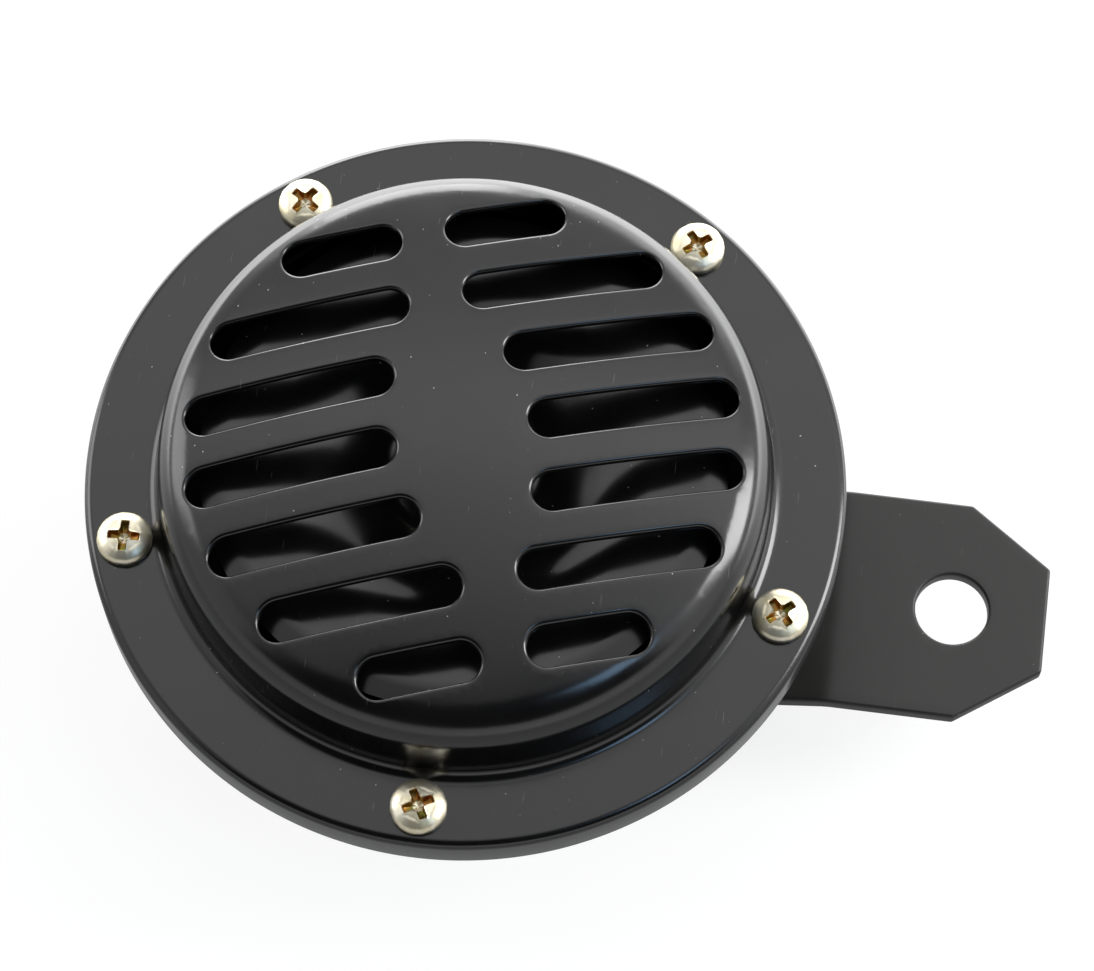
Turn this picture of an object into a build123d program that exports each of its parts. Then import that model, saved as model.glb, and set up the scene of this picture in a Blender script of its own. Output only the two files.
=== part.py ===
from build123d import *
import math
import os

# Electromagnetic disc horn for a road vehicle. All sizes are in millimetres.
# The origin is the centre of the bracket's bolt hole, on the back face of the bracket's tab.
# +Z runs along the horn's axis, out through the slotted cover, and +X runs from the horn to the tab.
# Depths behind the flange's front face are positive numbers, and so are heights in front of it.

os.makedirs("parts", exist_ok=True)

# Front cover, one stamping
horn_radius = 55.0
cover_sheet = 1.0
rim_depth = 6.7
rim_edge_radius = 1.3
flange_width = 11.0
wall_draft = 0.8
wall_foot_fillet = 1.3
dome_height = 18.8
dome_curve_radius = 133.0
shoulder_radius = 3.5

# Slots of the cover, in rows that mirror about the middle one
slot_turn = 18.0
slot_rows = 7
slot_width = 5.7
slot_field_inset = 6.5
# As parts of the slot field's radius: the outermost row's distance from the middle, and each row's inner end
slot_outermost_row = 0.8763
slot_inner_ends = (0.335, 0.294, 0.185, 0.166)

# Cover screws, M4 pan heads
screw_count = 5
screw_edge_distance = 5.4
screw_turn = 54.3
screw_shank_radius = 2.0
screw_head_radius = 4.0
screw_head_height = 2.6
screw_head_crown = 1.3
screw_length = 8.0
screw_hole_clearance = 0.25
thread_clearance = 0.05

# Clamped stack between cover and housing
stack_clearance = 0.4
gasket_thickness = 0.3
gasket_setback = 2.6
diaphragm_sheet = 0.3
corrugation_inner_radius = 15.0
corrugation_width = 3.6
corrugation_count = 2
corrugation_height = 0.6

# Rear housing, a stepped cup
housing_sheet = 1.2
chamber_step = 3.2
chamber_depth = 12.8
cup_step = 6.7
cup_depth = 34.8
housing_bend_radius = 1.6
collar_wall = 1.0
collar_length = 2.2

# Bracket strap
bracket_sheet = 2.5
bracket_width = 34.0
tab_front_depth = 29.7
bracket_hole_past_rim = 18.2
bracket_hole_radius = 5.5
tab_past_hole = 14.2
tab_chamfer_along = 12.5
tab_chamfer_across = 8.8
joggle_start = 35.0
joggle_end = 56.0
bracket_bend_radius = 4.0
bracket_root_length = 17.0
bracket_root_corner = 6.0

# Rear stud and what is on it, M8
stud_radius = 4.0
stud_clearance = 0.15
stud_end_chamfer = 0.8
washer_radius = 8.0
washer_thickness = 1.6
spring_washer_radius = 7.4
spring_washer_thickness = 2.0
spring_washer_gap = 1.2
nut_across_flats = 13.0
nut_height = 6.5
nut_turn = 15.0
stud_past_nut = 1.4

# Shapes that all nuts and spring washers share
nut_face_share = 0.96
nut_corner_angle = 30.0
washer_slit_angle = 15.0

# How the armature moves: its travel to each side of rest, and what stays clear of it at the end
travel = 0.35
moving_clearance = 0.3

# Armature and the tone disc that it carries, M6 stud
armature_radius = 8.5
armature_end_depth = 14.5
armature_collar_radius = 10.0
armature_collar_height = 2.0
armature_stud_radius = 3.0
armature_stud_past_nut = 1.0
armature_chamfer = 0.5
push_ring_radius = 11.5
push_ring_thickness = 1.9
spacer_radius = 7.0
spacer_height = 6.1
tone_disc_sheet = 0.8
tone_disc_gap = 5.7
tone_disc_centre_radius = 11.5
tone_disc_dish_share = 0.5
tone_disc_rise = 3.8
tone_disc_foot_bend = 6.0
tone_disc_crest_bend = 25.0
tone_disc_edge_width = 3.0
tone_disc_edge_fall = 0.6
tone_disc_edge_bend = 8.0
tone_washer_radius = 5.2
tone_washer_thickness = 1.5
tone_nut_across_flats = 10.0
tone_nut_height = 5.0
tone_nut_turn = 10.0

# Electromagnet
air_gap = 0.9
# The core's radius as a part of the cup's
pole_core_share = 0.371
yoke_stack_gap = 1.1
yoke_thickness = 2.0
yoke_bore_clearance = 0.8
yoke_rivet_count = 3
yoke_rivet_from_cup = 2.9
yoke_rivet_turn = 30.0
bobbin_clearance = 0.1
bobbin_wall = 1.0
bobbin_flange = 1.2
bobbin_cup_clearance = 0.5
winding_inset = 1.8

# Rivets
rivet_radius = 1.3
rivet_head_radius = 2.3
rivet_head_height = 0.8
rivet_head_chamfer = 0.35

# Contact breaker, at +Y inside the chamber
leaf_thickness = 0.4
leaf_width = 9.0
fixed_arm_thickness = 0.8
fixed_arm_width = 20.0
fixed_arm_tip = 13.0
contact_point_radius = 1.6
contact_point_height = 0.8
contact_shank_radius = 0.8
contact_point_distance = 18.5
stack_block_length = 5.6
stack_block_gap = 1.0
stack_block_width = 16.0
stack_top_thickness = 0.6
stack_rivet_spacing = 10.0
stack_rivet_head_height = 0.5
arm_hole_radius = 1.9

# Adjusting screw, M4, beside the leaf
adjuster_from_stack = 3.0
adjuster_offset = 8.0
adjuster_radius = 2.0
adjuster_hole_clearance = 0.3
adjuster_nut_across_flats = 7.0
adjuster_nut_height = 3.2
adjuster_past_nut = 2.0
adjuster_slot_width = 0.8
adjuster_slot_depth = 1.0
adjuster_slot_turn = 25.0

# Terminals, at -X under the chamber's floor
terminal_yoke_gap = 0.9
terminal_block_length = 22.0
terminal_block_width = 9.0
terminal_block_height = 3.0
terminal_block_corner = 1.5
terminal_boss_length = 18.6
terminal_boss_width = 3.6
terminal_plate_length = 19.6
terminal_plate_width = 5.6
terminal_plate_thickness = 1.0
terminal_clearance = 0.1
blade_offset = 5.6
blade_width = 6.3
blade_thickness = 0.8
blade_length = 8.0
blade_tip_chamfer = 1.0
blade_hole_radius = 0.9
blade_hole_from_tip = 3.2
tag_width = 3.0
tag_length = 2.8

# Leads inside, enamelled wire
lead_radius = 0.45
lead_hole_clearance = 0.35
lead_from_winding_edge = 1.7
lead_over_yoke = 0.7
lead_bend_radius = 1.2
contact_lead_offset = 2.5
contact_lead_from_stack = 3.4
return_lead_offset = 7.9
return_lead_from_stack = 6.4
return_lead_over_coil_lead = 2.5
return_lead_turn = 24.0
return_lead_last_run = 5.3

# Radii that follow from the rim inwards
wall_foot_radius = horn_radius - flange_width
wall_top_radius = wall_foot_radius - wall_draft
screw_circle_radius = horn_radius - screw_edge_distance
chamber_radius = wall_foot_radius - chamber_step
gasket_inner_radius = chamber_radius + gasket_setback
slot_field_radius = wall_top_radius - slot_field_inset
slot_pitch = slot_outermost_row * slot_field_radius / (slot_rows // 2)
tone_disc_radius = wall_top_radius - tone_disc_gap
tone_disc_ring_width = tone_disc_radius - tone_disc_edge_width - tone_disc_centre_radius
tone_disc_dish_width = tone_disc_dish_share * tone_disc_ring_width
tone_disc_crest_limit = (tone_disc_ring_width - tone_disc_dish_width) * tone_disc_dish_width / tone_disc_rise
stack_block_outer = chamber_radius - housing_bend_radius - stack_block_gap
stack_block_inner = stack_block_outer - stack_block_length
yoke_radius = stack_block_inner - yoke_stack_gap
cup_radius = yoke_radius - cup_step
yoke_rivet_circle = cup_radius + housing_sheet + yoke_rivet_from_cup
pole_core_radius = pole_core_share * cup_radius
winding_radius = cup_radius - bobbin_cup_clearance - winding_inset
adjuster_distance = stack_block_inner - adjuster_from_stack
terminal_distance = yoke_radius + terminal_yoke_gap + terminal_plate_width / 2
bracket_hole_distance = horn_radius + bracket_hole_past_rim
tab_end_distance = bracket_hole_distance + tab_past_hole

# Places that follow from the sizes above
flange_z = tab_front_depth + bracket_sheet
horn_x = -bracket_hole_distance
horn_axis = Axis((horn_x, 0, 0), (0, 0, 1))
section = Plane(origin=(horn_x, 0, flange_z), x_dir=(1, 0, 0), z_dir=(0, -1, 0))
stack_radius = horn_radius - cover_sheet - stack_clearance
diaphragm_front = cover_sheet + gasket_thickness
diaphragm_back = diaphragm_front + diaphragm_sheet
housing_front = diaphragm_back + gasket_thickness
housing_back = housing_front + housing_sheet
floor_back = chamber_depth + housing_sheet
cup_back = cup_depth + housing_sheet
bracket_back = cup_back + bracket_sheet
washer_back = bracket_back + washer_thickness
spring_washer_back = washer_back + spring_washer_thickness
nut_back = spring_washer_back + nut_height
stud_end = nut_back + stud_past_nut
tone_seat = spacer_height - diaphragm_front
tone_top = tone_seat + tone_disc_sheet
tone_washer_top = tone_top + tone_washer_thickness
tone_nut_top = tone_washer_top + tone_nut_height
collar_back = diaphragm_back + armature_collar_height
push_ring_back = collar_back + push_ring_thickness
leaf_front = push_ring_back + travel + moving_clearance
leaf_back = leaf_front + leaf_thickness
contact_face = leaf_front - contact_point_height
fixed_arm_back = contact_face - contact_point_height
fixed_arm_front = fixed_arm_back - fixed_arm_thickness
stack_top = fixed_arm_front - stack_top_thickness
yoke_front = chamber_depth - yoke_thickness
pole_face = armature_end_depth + air_gap
stack_middle = (stack_block_inner + stack_block_outer) / 2
stack_rivet_places = [(stack_middle, -stack_rivet_spacing / 2), (stack_middle, stack_rivet_spacing / 2)]
winding_front = chamber_depth + bobbin_flange
winding_back = cup_depth - housing_bend_radius - bobbin_flange
lead_circle = winding_radius - lead_from_winding_edge
coil_lead_start = math.sqrt(lead_circle**2 - blade_offset**2)
contact_lead_start = math.sqrt(lead_circle**2 - contact_lead_offset**2)
winding_ends = [(90, contact_lead_start, -contact_lead_offset), (180, coil_lead_start, -blade_offset)]
lead_depth = yoke_front - lead_over_yoke


def level(height, turn=0.0):
    """A plane across the horn's axis, at a height in front of the flange face, turned about the axis."""
    x_dir = (math.cos(math.radians(turn)), math.sin(math.radians(turn)), 0)
    return Plane(origin=(horn_x, 0, flange_z + height), x_dir=x_dir, z_dir=(0, 0, 1))


def dome_at(radius):
    """Height of the domed face's outer side at a distance from the horn's axis."""
    return dome_height - dome_curve_radius + math.sqrt(dome_curve_radius**2 - radius**2)


def corner(line, x, y):
    """The vertex of a profile nearest to a point given as radius and height."""
    return line.vertices().sort_by_distance((x, y, 0))[0]


# Front cover: dome, shoulder, wall, flange and turned-down rim in one profile, then the slots.
# The profile stands between the two columns of slots, so the seam of the turned faces meets no slot.
between_columns = Plane(
    origin=(horn_x, 0, flange_z),
    x_dir=level(0, slot_turn + 90).x_dir,
    z_dir=level(0, slot_turn).x_dir,
)
with BuildPart() as front_cover:
    with BuildSketch(between_columns):
        with BuildLine() as cover_line:
            wall_top = dome_at(wall_top_radius)
            ThreePointArc(
                (0, dome_height),
                (wall_top_radius / 2, dome_at(wall_top_radius / 2)),
                (wall_top_radius, wall_top),
            )
            Polyline(
                (wall_top_radius, wall_top),
                (wall_foot_radius, 0),
                (horn_radius, 0),
                (horn_radius, -rim_depth),
            )
            fillet(corner(cover_line, wall_top_radius, wall_top), shoulder_radius)
            fillet(corner(cover_line, wall_foot_radius, 0), wall_foot_fillet)
            fillet(corner(cover_line, horn_radius, 0), rim_edge_radius)
            offset(amount=cover_sheet, side=Side.RIGHT)
        make_face()
    revolve(axis=horn_axis)
    with BuildSketch(level(dome_height + cover_sheet, slot_turn)):
        for row in range(slot_rows):
            rows_from_middle = row - slot_rows // 2
            y = rows_from_middle * slot_pitch
            inner = slot_inner_ends[abs(rows_from_middle)] * slot_field_radius
            outer = math.sqrt(slot_field_radius**2 - y**2)
            with Locations(((inner + outer) / 2, y), (-(inner + outer) / 2, y)):
                SlotCenterToCenter(outer - inner, slot_width)
    extrude(amount=-(dome_height + cover_sheet), mode=Mode.SUBTRACT)
    with BuildSketch(level(0)):
        with PolarLocations(screw_circle_radius, screw_count, start_angle=screw_turn):
            Circle(screw_shank_radius + screw_hole_clearance)
    extrude(amount=-cover_sheet, mode=Mode.SUBTRACT)
front_cover.part.label = "front_cover"

# Cover screws: domed pan head on the flange, plain shank into the housing's collar
with BuildPart() as one_screw:
    with BuildSketch(Plane.XZ):
        with BuildLine():
            # The crown is part of a ball, whose centre lies on the screw's axis
            crown_ball = (screw_head_radius**2 + screw_head_crown**2) / (2 * screw_head_crown)
            crown_depth = crown_ball - math.sqrt(crown_ball**2 - (screw_head_radius / 2) ** 2)
            Polyline(
                (0, screw_head_height),
                (0, -screw_length),
                (screw_shank_radius, -screw_length),
                (screw_shank_radius, 0),
                (screw_head_radius, 0),
                (screw_head_radius, screw_head_height - screw_head_crown),
            )
            ThreePointArc(
                (screw_head_radius, screw_head_height - screw_head_crown),
                (screw_head_radius / 2, screw_head_height - crown_depth),
                (0, screw_head_height),
            )
        make_face()
    revolve(axis=Axis.Z)
with BuildPart() as cover_screws:
    with Locations(level(0)):
        with PolarLocations(screw_circle_radius, screw_count, start_angle=screw_turn):
            add(one_screw.part)
cover_screws.part.label = "cover_screws"


def clamped_ring(front, thickness):
    """A flat ring of the clamped stack with the screw holes; front is the depth of its front face."""
    with BuildPart() as ring:
        with BuildSketch(level(-front)):
            Circle(stack_radius)
            Circle(gasket_inner_radius, mode=Mode.SUBTRACT)
            with PolarLocations(screw_circle_radius, screw_count, start_angle=screw_turn):
                Circle(screw_shank_radius + screw_hole_clearance, mode=Mode.SUBTRACT)
        extrude(amount=-thickness)
    return ring


front_gasket = clamped_ring(cover_sheet, gasket_thickness)
front_gasket.part.label = "front_gasket"
rear_gasket = clamped_ring(diaphragm_back, gasket_thickness)
rear_gasket.part.label = "rear_gasket"

# Diaphragm: one thin sheet with ring corrugations between its flat centre and its clamped edge
with BuildPart() as diaphragm:
    with BuildSketch(section):
        with BuildLine():
            crests = [(armature_stud_radius, -diaphragm_front), (corrugation_inner_radius, -diaphragm_front)]
            for ring in range(corrugation_count):
                start = corrugation_inner_radius + 2 * ring * corrugation_width
                crests.append((start + 0.5 * corrugation_width, -diaphragm_front + corrugation_height))
                crests.append((start + 1.5 * corrugation_width, -diaphragm_front - corrugation_height))
            flat_start = corrugation_inner_radius + 2 * corrugation_count * corrugation_width
            crests += [(flat_start, -diaphragm_front), (stack_radius, -diaphragm_front)]
            Polyline(*crests)
            offset(amount=diaphragm_sheet, side=Side.RIGHT)
        make_face()
    revolve(axis=horn_axis)
    with BuildSketch(level(0)):
        with PolarLocations(screw_circle_radius, screw_count, start_angle=screw_turn):
            Circle(screw_shank_radius + screw_hole_clearance)
    extrude(amount=-housing_back, mode=Mode.SUBTRACT)
diaphragm.part.label = "diaphragm"

# Rear housing: flange, contact chamber, floor, coil cup and back plate drawn from one sheet
with BuildPart() as rear_housing:
    with BuildSketch(section):
        with BuildLine():
            FilletPolyline(
                (stack_radius, -housing_front),
                (chamber_radius, -housing_front),
                (chamber_radius, -chamber_depth),
                (cup_radius, -chamber_depth),
                (cup_radius, -cup_depth),
                (stud_radius + stud_clearance, -cup_depth),
                radius=housing_bend_radius,
            )
            offset(amount=housing_sheet, side=Side.LEFT)
        make_face()
    revolve(axis=horn_axis)
    with BuildSketch(level(-housing_back)):
        with PolarLocations(screw_circle_radius, screw_count, start_angle=screw_turn):
            Circle(screw_shank_radius + thread_clearance + collar_wall)
    extrude(amount=-collar_length)
    with BuildSketch(level(-housing_front)):
        with PolarLocations(screw_circle_radius, screw_count, start_angle=screw_turn):
            Circle(screw_shank_radius + thread_clearance)
    extrude(amount=-(housing_sheet + collar_length), mode=Mode.SUBTRACT)
    with BuildSketch(level(-chamber_depth)):
        with PolarLocations(yoke_rivet_circle, yoke_rivet_count, start_angle=yoke_rivet_turn):
            Circle(rivet_radius)
    with BuildSketch(level(-chamber_depth, 90)):
        with Locations(*stack_rivet_places):
            Circle(rivet_radius)
        with Locations((adjuster_distance, -adjuster_offset)):
            Circle(adjuster_radius + adjuster_hole_clearance)
    with BuildSketch(level(-chamber_depth, 180)):
        with Locations((terminal_distance, 0)):
            Rectangle(terminal_boss_width + terminal_clearance, terminal_boss_length + terminal_clearance)
    extrude(amount=-housing_sheet, mode=Mode.SUBTRACT)
rear_housing.part.label = "rear_housing"

# Armature: stud through the diaphragm, collar under it, and the body that the magnet pulls
with BuildPart() as armature:
    with BuildSketch(section):
        with BuildLine():
            Polyline(
                (0, tone_nut_top + armature_stud_past_nut),
                (armature_stud_radius, tone_nut_top + armature_stud_past_nut),
                (armature_stud_radius, -diaphragm_back),
                (armature_collar_radius, -diaphragm_back),
                (armature_collar_radius, -collar_back),
                (armature_radius, -collar_back),
                (armature_radius, -armature_end_depth),
                (0, -armature_end_depth),
                close=True,
            )
        make_face()
    revolve(axis=horn_axis)
    chamfer(armature.edges().group_by(Axis.Z)[0], armature_chamfer)
    chamfer(armature.edges().group_by(Axis.Z)[-1], armature_chamfer)
armature.part.label = "armature"


def washer(front, thickness, outer_radius, inner_radius):
    """A plain ring on the horn's axis, whose front face is at a height in front of the flange."""
    with BuildPart() as ring:
        with BuildSketch(level(front)):
            Circle(outer_radius)
            Circle(inner_radius, mode=Mode.SUBTRACT)
        extrude(amount=-thickness)
    return ring


def split_washer(front, thickness, outer_radius, inner_radius, gap):
    """A spring washer pressed flat, with the slit that lies aslant in it."""
    with BuildPart() as ring:
        with BuildSketch(level(front)):
            Circle(outer_radius)
            Circle(inner_radius, mode=Mode.SUBTRACT)
            with Locations(((outer_radius + inner_radius) / 2, 0)):
                Rectangle(outer_radius, gap, rotation=washer_slit_angle, mode=Mode.SUBTRACT)
        extrude(amount=-thickness)
    return ring


def hexagon_nut(front, height, across_flats, bore_radius, turn):
    """A hexagon nut with its corners turned off at both ends."""
    with BuildPart() as nut:
        with BuildSketch(level(front)):
            RegularPolygon(across_flats / 2, 6, major_radius=False, rotation=turn)
            Circle(bore_radius, mode=Mode.SUBTRACT)
        extrude(amount=-height)
        with BuildSketch(section):
            with BuildLine():
                across_corners = across_flats / math.cos(math.radians(30))
                face = nut_face_share * across_flats / 2
                wide = across_corners / 2
                drop = (wide - face) * math.tan(math.radians(nut_corner_angle))
                Polyline(
                    (bore_radius, front),
                    (face, front),
                    (wide, front - drop),
                    (wide, front - height + drop),
                    (face, front - height),
                    (bore_radius, front - height),
                    close=True,
                )
            make_face()
        revolve(axis=horn_axis, mode=Mode.INTERSECT)
    return nut


# Insulating push ring, pressed up against the armature's collar
push_ring = washer(-collar_back, push_ring_thickness, push_ring_radius, armature_radius)
push_ring.part.label = "armature_push_ring"

# Spacer between the diaphragm and the tone disc
tone_disc_spacer = washer(tone_seat, spacer_height, spacer_radius, armature_stud_radius)
tone_disc_spacer.part.label = "tone_disc_spacer"

# Tone disc: flat centre, a dish that rises to a flat ring, and an edge that falls a little
with BuildPart() as tone_disc:
    with BuildSketch(section):
        with BuildLine():
            ring_height = tone_seat + tone_disc_rise
            FilletPolyline(
                (armature_stud_radius, tone_seat),
                (tone_disc_centre_radius, tone_seat),
                (tone_disc_centre_radius + tone_disc_dish_width, ring_height),
                (tone_disc_radius - tone_disc_edge_width, ring_height),
                (tone_disc_radius, ring_height - tone_disc_edge_fall),
                radius=[tone_disc_foot_bend, min(tone_disc_crest_bend, tone_disc_crest_limit), tone_disc_edge_bend],
            )
            offset(amount=tone_disc_sheet, side=Side.LEFT)
        make_face()
    revolve(axis=horn_axis)
tone_disc.part.label = "tone_disc"

tone_disc_washer = split_washer(
    tone_washer_top, tone_washer_thickness, tone_washer_radius, armature_stud_radius, spring_washer_gap
)
tone_disc_washer.part.label = "tone_disc_washer"
tone_disc_nut = hexagon_nut(tone_nut_top, tone_nut_height, tone_nut_across_flats, armature_stud_radius, tone_nut_turn)
tone_disc_nut.part.label = "tone_disc_nut"

# Pole core: turned steel, shouldered on the back plate, with the rear stud in one piece
with BuildPart() as pole_core:
    with BuildSketch(section):
        with BuildLine():
            Polyline(
                (0, -pole_face),
                (pole_core_radius, -pole_face),
                (pole_core_radius, -cup_depth),
                (stud_radius, -cup_depth),
                (stud_radius, -stud_end),
                (0, -stud_end),
                close=True,
            )
        make_face()
    revolve(axis=horn_axis)
    chamfer(pole_core.edges().group_by(Axis.Z)[0], stud_end_chamfer)
pole_core.part.label = "pole_core"

# Yoke plate: closes the magnet's circuit at the front of the coil
with BuildPart() as yoke_plate:
    with BuildSketch(level(-yoke_front)):
        Circle(yoke_radius)
        Circle(armature_radius + yoke_bore_clearance, mode=Mode.SUBTRACT)
        with PolarLocations(yoke_rivet_circle, yoke_rivet_count, start_angle=yoke_rivet_turn):
            Circle(rivet_radius, mode=Mode.SUBTRACT)
    extrude(amount=-yoke_thickness)
    with BuildSketch(level(-yoke_front, 90)):
        with Locations((adjuster_distance, -adjuster_offset)):
            Circle(adjuster_radius + adjuster_hole_clearance)
    for side, outward, sideways in winding_ends:
        with BuildSketch(level(-yoke_front, side)):
            with Locations((outward, sideways)):
                Circle(lead_radius + lead_hole_clearance)
    extrude(amount=-yoke_thickness, mode=Mode.SUBTRACT)
yoke_plate.part.label = "yoke_plate"


def rivet(front, back, head_height):
    """A solid rivet along Z between two faces, with a low bevelled head on each side."""
    with BuildPart() as solid_rivet:
        with BuildSketch(Plane.XY.offset(back)):
            Circle(rivet_radius)
        extrude(amount=front - back)
        for seat, out in ((front, 1), (back, -1)):
            with BuildSketch(Plane.XY.offset(seat)):
                Circle(rivet_head_radius)
            extrude(amount=out * head_height)
        chamfer(solid_rivet.edges().group_by(Axis.Z)[0], rivet_head_chamfer)
        chamfer(solid_rivet.edges().group_by(Axis.Z)[-1], rivet_head_chamfer)
    return solid_rivet


one_yoke_rivet = rivet(-yoke_front, -floor_back, rivet_head_height)
with BuildPart() as yoke_rivets:
    with Locations(level(0)):
        with PolarLocations(yoke_rivet_circle, yoke_rivet_count, start_angle=yoke_rivet_turn):
            add(one_yoke_rivet.part)
yoke_rivets.part.label = "yoke_rivets"

# Coil bobbin: moulded tube with a flange at each end, slipped over the core
with BuildPart() as coil_bobbin:
    with BuildSketch(section):
        with BuildLine():
            bore = pole_core_radius + bobbin_clearance
            rim = cup_radius - bobbin_cup_clearance
            Polyline(
                (bore, -chamber_depth),
                (rim, -chamber_depth),
                (rim, -chamber_depth - bobbin_flange),
                (bore + bobbin_wall, -chamber_depth - bobbin_flange),
                (bore + bobbin_wall, -cup_depth + housing_bend_radius + bobbin_flange),
                (rim, -cup_depth + housing_bend_radius + bobbin_flange),
                (rim, -cup_depth + housing_bend_radius),
                (bore + bobbin_wall, -cup_depth + housing_bend_radius),
                (bore + bobbin_wall, -cup_depth),
                (bore, -cup_depth),
                close=True,
            )
        make_face()
    revolve(axis=horn_axis)
    for side, outward, sideways in winding_ends:
        with BuildSketch(level(-chamber_depth, side)):
            with Locations((outward, sideways)):
                Circle(lead_radius + lead_hole_clearance)
    extrude(amount=-bobbin_flange, mode=Mode.SUBTRACT)
coil_bobbin.part.label = "coil_bobbin"

# Coil winding: all turns of enamelled wire as one body
coil_winding = washer(
    -winding_front,
    winding_back - winding_front,
    winding_radius,
    pole_core_radius + bobbin_clearance + bobbin_wall,
)
coil_winding.part.label = "coil_winding"

# Contact breaker. Its planes have local X outward along +Y and local Y along -X.


def stack_block(front, thickness):
    """One insulating block of the breaker's stack, with its two rivet holes."""
    with BuildPart() as block:
        with BuildSketch(level(front, 90)):
            with Locations((stack_middle, 0)):
                Rectangle(stack_block_length, stack_block_width)
            with Locations(*stack_rivet_places):
                Circle(rivet_radius, mode=Mode.SUBTRACT)
        extrude(amount=-thickness)
    return block


def breaker_arm(front, thickness, width, tip):
    """A flat arm from the stack in towards the armature; its holes stand clear of the stack's rivets."""
    with BuildPart() as arm:
        with BuildSketch(level(front, 90)):
            with Locations((stack_middle, 0)):
                Rectangle(stack_block_length, stack_block_width)
            with Locations(((tip + stack_block_inner) / 2, 0)):
                Rectangle(stack_block_inner - tip, width)
            with Locations(*stack_rivet_places):
                Circle(arm_hole_radius, mode=Mode.SUBTRACT)
            with Locations((contact_point_distance, 0)):
                Circle(contact_shank_radius, mode=Mode.SUBTRACT)
        extrude(amount=-thickness)
    return arm


def contact_point(seat, arm_thickness, out):
    """A contact rivet: its face stands out from the arm and its shank fills the arm's hole."""
    with BuildPart() as point:
        with BuildSketch(level(seat, 90)):
            with Locations((contact_point_distance, 0)):
                Circle(contact_point_radius)
        extrude(amount=out * contact_point_height)
        with BuildSketch(level(seat, 90)):
            with Locations((contact_point_distance, 0)):
                Circle(contact_shank_radius)
        extrude(amount=-out * arm_thickness)
    return point


contact_lower_insulator = stack_block(-leaf_back, chamber_depth - leaf_back)
contact_lower_insulator.part.label = "contact_lower_insulator"
contact_middle_insulator = stack_block(-fixed_arm_back, leaf_front - fixed_arm_back)
contact_middle_insulator.part.label = "contact_middle_insulator"
contact_upper_insulator = stack_block(-stack_top, stack_top_thickness)
contact_upper_insulator.part.label = "contact_upper_insulator"

leaf_tip = armature_radius + yoke_bore_clearance
moving_contact_arm = breaker_arm(-leaf_front, leaf_thickness, leaf_width, leaf_tip)
moving_contact_arm.part.label = "moving_contact_arm"
fixed_contact_arm = breaker_arm(-fixed_arm_front, fixed_arm_thickness, fixed_arm_width, fixed_arm_tip)
fixed_contact_arm.part.label = "fixed_contact_arm"
moving_contact_point = contact_point(-leaf_front, leaf_thickness, 1)
moving_contact_point.part.label = "moving_contact_point"
fixed_contact_point = contact_point(-fixed_arm_back, fixed_arm_thickness, -1)
fixed_contact_point.part.label = "fixed_contact_point"

one_stack_rivet = rivet(-stack_top, -floor_back, stack_rivet_head_height)
with BuildPart() as contact_rivets:
    with Locations(level(0, 90)):
        with Locations(*stack_rivet_places):
            add(one_stack_rivet.part)
contact_rivets.part.label = "contact_rivets"

# Adjusting screw: its tip holds the fixed arm from behind, its slotted end stands out at the back
adjuster_back = floor_back + adjuster_nut_height + adjuster_past_nut
with BuildPart() as adjusting_screw:
    with BuildSketch(level(-fixed_arm_back, 90)):
        with Locations((adjuster_distance, -adjuster_offset)):
            Circle(adjuster_radius)
    extrude(amount=-(adjuster_back - fixed_arm_back))
    with BuildSketch(level(-adjuster_back, 90)):
        with Locations((adjuster_distance, -adjuster_offset)):
            Rectangle(3 * adjuster_radius, adjuster_slot_width, rotation=adjuster_slot_turn)
    extrude(amount=adjuster_slot_depth, mode=Mode.SUBTRACT)
adjusting_screw.part.label = "adjusting_screw"

with BuildPart() as adjusting_nut:
    with BuildSketch(level(-floor_back, 90)):
        with Locations((adjuster_distance, -adjuster_offset)):
            RegularPolygon(adjuster_nut_across_flats / 2, 6, major_radius=False)
            Circle(adjuster_radius + thread_clearance, mode=Mode.SUBTRACT)
    extrude(amount=-adjuster_nut_height)
adjusting_nut.part.label = "adjusting_nut"

# Terminals. Their planes have local X outward along -X and local Y along -Y.
blade_places = [(terminal_distance, -blade_offset), (terminal_distance, blade_offset)]
with BuildPart() as terminal_block:
    with BuildSketch(level(-floor_back, 180)):
        with Locations((terminal_distance, 0)):
            RectangleRounded(terminal_block_width, terminal_block_length, terminal_block_corner)
    extrude(amount=-terminal_block_height)
    with BuildSketch(level(-floor_back, 180)):
        with Locations((terminal_distance, 0)):
            Rectangle(terminal_boss_width, terminal_boss_length)
    extrude(amount=housing_sheet)
    with BuildSketch(level(-chamber_depth, 180)):
        with Locations(*blade_places):
            Rectangle(blade_thickness + terminal_clearance, blade_width + terminal_clearance)
        with Locations((terminal_distance, 0)):
            Circle(rivet_radius)
    extrude(amount=-(housing_sheet + terminal_block_height), mode=Mode.SUBTRACT)
terminal_block.part.label = "terminal_block"

with BuildPart() as terminal_inner_plate:
    with BuildSketch(level(-chamber_depth, 180)):
        with Locations((terminal_distance, 0)):
            Rectangle(terminal_plate_width, terminal_plate_length)
            Circle(rivet_radius, mode=Mode.SUBTRACT)
        with Locations(*blade_places):
            Rectangle(blade_thickness + terminal_clearance, tag_width + terminal_clearance, mode=Mode.SUBTRACT)
    extrude(amount=terminal_plate_thickness)
terminal_inner_plate.part.label = "terminal_inner_plate"


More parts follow.
